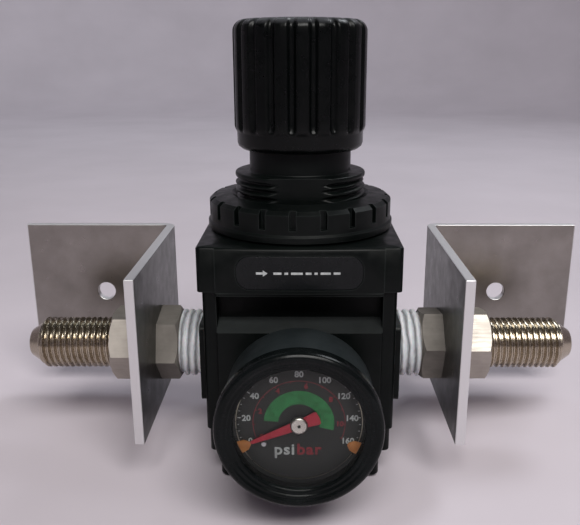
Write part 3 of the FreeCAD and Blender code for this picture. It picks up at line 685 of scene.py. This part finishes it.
def add_text(bm, text, size_mm, x, y, depth_mm, bold=0.0, spread=1.0):
    """Numbers and unit words as thin raised print."""
    curve = bpy.data.curves.new("print", "FONT")
    curve.body = text
    curve.size = size_mm * MM
    curve.align_x = "CENTER"
    curve.align_y = "CENTER"
    curve.offset = bold * MM
    curve.space_character = spread
    curve.extrude = PRINT / 2 * MM
    curve.resolution_u = 3
    holder = bpy.data.objects.new("print", curve)
    bpy.context.scene.collection.objects.link(holder)
    bpy.context.view_layer.update()
    mesh = bpy.data.meshes.new_from_object(holder.evaluated_get(bpy.context.evaluated_depsgraph_get()))
    mesh.transform(Matrix.Translation((x * MM, y * MM, (depth_mm + PRINT / 2) * MM)))
    bm.from_mesh(mesh)
    bpy.data.meshes.remove(mesh)
    bpy.data.objects.remove(holder)
    bpy.data.curves.remove(curve)


def printed(name, bm, material, body="regulator"):
    moved(bm, on_gauge())
    piece = new_object(name, bm, material, body, 30)


def make_dial_print():
    face = DIAL_FACE / MM + 0.004
    green = bmesh.new()
    add_flat(green, arc_band(3.65, 6.2, 176, -13), face)
    printed("dial_green_band", green, M["dial_green"])

    white = bmesh.new()
    for step in range(33):
        long_tick = step % 4 == 0
        angle = psi_angle(step * 5)
        add_flat(white, tick(10.3 if long_tick else 10.55, 10.85, angle, 0.09 if long_tick else 0.05), face)
    for psi in range(0, 161, 20):
        x, y = at_dial(9.3, psi_angle(psi))
        add_text(white, str(psi), 1.55, x, y, face, 0.05)
    add_text(white, "psi", 3.0, -2.6, -5.3, face, 0.08, 1.12)
    printed("dial_white_print", white, M["dial_white"])

    red = bmesh.new()
    for bar in range(12):
        angle = psi_angle(bar * PSI_PER_BAR)
        add_flat(red, tick(7.75, 8.05, angle, 0.06), face)
        if bar % 2 == 0:
            x, y = at_dial(7.15, angle)
            add_text(red, str(bar), 1.35, x, y, face, 0.05)
    add_flat(red, arc_band(8.05, 8.15, psi_angle(0), psi_angle(FULL_PSI)), face)
    add_text(red, "bar", 3.0, 1.75, -5.3, face, 0.08, 1.12)
    printed("dial_red_print", red, M["dial_red"])

    rim = bmesh.new()
    add_spin(rim, [(11.05, face), (11.05, face + 0.1), (11.2, face + 0.1), (11.2, face)], 128, looped=True)
    moved(rim, on_gauge())
    piece = new_object("dial_rim", rim, M["rim_metal"], "regulator", 30)


def make_pointer():
    """Red blade with a broad tail, under a bright turned hub."""
    front, depth = (-corner.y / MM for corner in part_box("gauge_pointer"))
    blade_low = depth + 0.02
    turn = Matrix.Rotation(math.radians(ZERO), 4, "Z")
    blade = bmesh.new()
    outline = [(-3.7, -1.1), (-3.85, 0.0), (-3.7, 1.1), (-3.3, 1.25), (-1.2, 0.95), (3.0, 0.72),
               (9.0, 0.3), (9.4, 0.0), (9.0, -0.3), (3.0, -0.72), (-1.2, -0.95), (-3.3, -1.25)]
    add_flat(blade, outline, blade_low, 0.2)
    moved(blade, on_gauge() @ turn)
    piece = new_object("pointer_blade", blade, M["pointer_red"], "pointer", 30)
    hub = bmesh.new()
    hub_profile = rounded([(0.02, front - 0.03), (0.3, front - 0.03), (0.34, front), (1.3, front),
                           (1.55, front - 0.2), (1.55, depth + 0.05), (0.7, depth + 0.05)], 0.08, 3)
    add_spin(hub, hub_profile, 72)
    moved(hub, on_gauge())
    piece = new_object("pointer_hub", hub, M["hub_silver"], "pointer", 40)
    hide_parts("gauge_pointer")
    dot = bmesh.new()
    add_rings(dot, [circle(0.27 * MM, (front - 0.02) * MM, 24), circle(0.27 * MM, (front + 0.005) * MM, 24)])
    moved(dot, on_gauge())
    piece = new_object("pointer_centre", dot, M["nitrile"], "pointer", 30)


def make_label_print():
    """Generic flow mark on the name plate: an arrow and a row of plain dashes, with no words."""
    low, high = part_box("label_plate")
    middle = (low.z + high.z) / 2
    face_y = low.y - 0.012 * MM
    bm = bmesh.new()
    shapes = [[(-8.2, -0.22), (-6.9, -0.22), (-6.9, -0.6), (-6.0, 0.0),
               (-6.9, 0.6), (-6.9, 0.22), (-8.2, 0.22)]]
    start = -4.9
    for width in (1.5, 0.7, 2.2, 1.1, 0.6, 1.9, 1.3):
        shapes.append([(start, -0.22), (start + width, -0.22), (start + width, 0.22), (start, 0.22)])
        start += width + 0.55
    for outline in shapes:
        verts = []
        for x, z in outline:
            bow = 0.7 * (x / 16.1) ** 2 * MM           # the plate's face curves back to its ends
            verts.append(bm.verts.new((x * MM, face_y + bow, middle + z * MM)))
        bm.faces.new(verts)
    thicken(bm, bm.faces[:], (0, 0.03 * MM, 0))
    piece = new_object("label_print", bm, M["dial_white"], "regulator", 30)


# ---- stage, light and camera ----------------------------------------------------------------
def make_stage():
    """Pale round floor that curves up into a wall, far outside every camera."""
    shader = Shader("pale_floor")
    cloud = shader.range(shader.noise(90.0, 3.0), 0, 1)
    shader.link(shader.blend(cloud, (0.615, 0.560, 0.610), (0.675, 0.615, 0.670)), "Base Color")
    shader.bump(shader.noise(0.9, 3.0), 0.05, 0.05)
    shader.set(Roughness=0.85)
    flat_r, bend_r, wall_top = 900, 300, 1100
    profile = [(20, 0), (200, 0), (flat_r, 0)]
    for k in range(1, 13):
        angle = math.radians(90 * k / 12)
        profile.append((flat_r + bend_r * math.sin(angle), bend_r - bend_r * math.cos(angle)))
    profile.append((flat_r + bend_r, wall_top))
    bm = bmesh.new()
    add_rings(bm, spun(profile, 96), True, False)
    for face in bm.faces:
        face.smooth = True
    mesh = bpy.data.meshes.new("floor")
    bm.to_mesh(mesh)
    bm.free()
    mesh.materials.append(shader.material)
    floor = bpy.data.objects.new("floor", mesh)
    floor.location.z = -0.02 * MM
    bpy.context.scene.collection.objects.link(floor)


def add_lamp(name, place, target, width, height, power, colour):
    """Rectangular soft lamp that faces a point."""
    lamp = bpy.data.lights.new(name, "AREA")
    lamp.shape = "RECTANGLE"
    lamp.size, lamp.size_y = width, height
    lamp.energy = power
    lamp.color = colour
    holder = bpy.data.objects.new(name, lamp)
    holder.location = place
    aim = Vector(target) - Vector(place)
    holder.rotation_euler = aim.to_track_quat("-Z", "Y").to_euler()
    bpy.context.scene.collection.objects.link(holder)


def make_lights():
    add_lamp("ceiling", (0.10, -0.46, 0.58), (0, 0, 0.03), 0.50, 0.24, 4.9, (1.0, 0.985, 0.96))
    add_lamp("window", (0.36, 0.34, 0.62), (0, 0, 0.0), 0.22, 0.22, 1.4, (0.92, 0.96, 1.0))
    add_lamp("far_wall", (-0.25, 0.55, 0.70), (-0.05, 1.10, 0.10), 0.7, 0.4, 1.7, (0.88, 0.97, 1.0))
    world = bpy.data.worlds.new("room")
    world.use_nodes = True
    world.node_tree.nodes["Background"].inputs["Color"].default_value = (0.50, 0.50, 0.52, 1)
    world.node_tree.nodes["Background"].inputs["Strength"].default_value = 0.12
    bpy.context.scene.world = world


def make_camera():
    """Camera 148 mm in front of the knob's axis, looking down by 16 degrees."""
    width_px, focal_px = 580, 709.0
    look_down, heading = 0.28, 0.0034                     # in radians
    data = bpy.data.cameras.new("camera")
    data.sensor_width = 36.0
    data.lens = focal_px * data.sensor_width / width_px
    data.shift_x, data.shift_y = -0.0217, -0.0124
    data.clip_start, data.clip_end = 0.01, 5.0
    holder = bpy.data.objects.new("camera", data)
    holder.location = (0.0010, -0.1477, AXIS_Z + 0.0627)
    holder.rotation_euler = (math.pi / 2 - look_down, 0, heading)
    bpy.context.scene.collection.objects.link(holder)
    bpy.context.scene.camera = holder
    bpy.context.scene.view_settings.view_transform = "Standard"


paint_cad_nodes()
make_body_parts()
make_bonnet()
make_knob()
make_side_parts()
make_bezel()
make_dial_print()
make_pointer()
make_label_print()
make_stage()
make_lights()
make_camera()
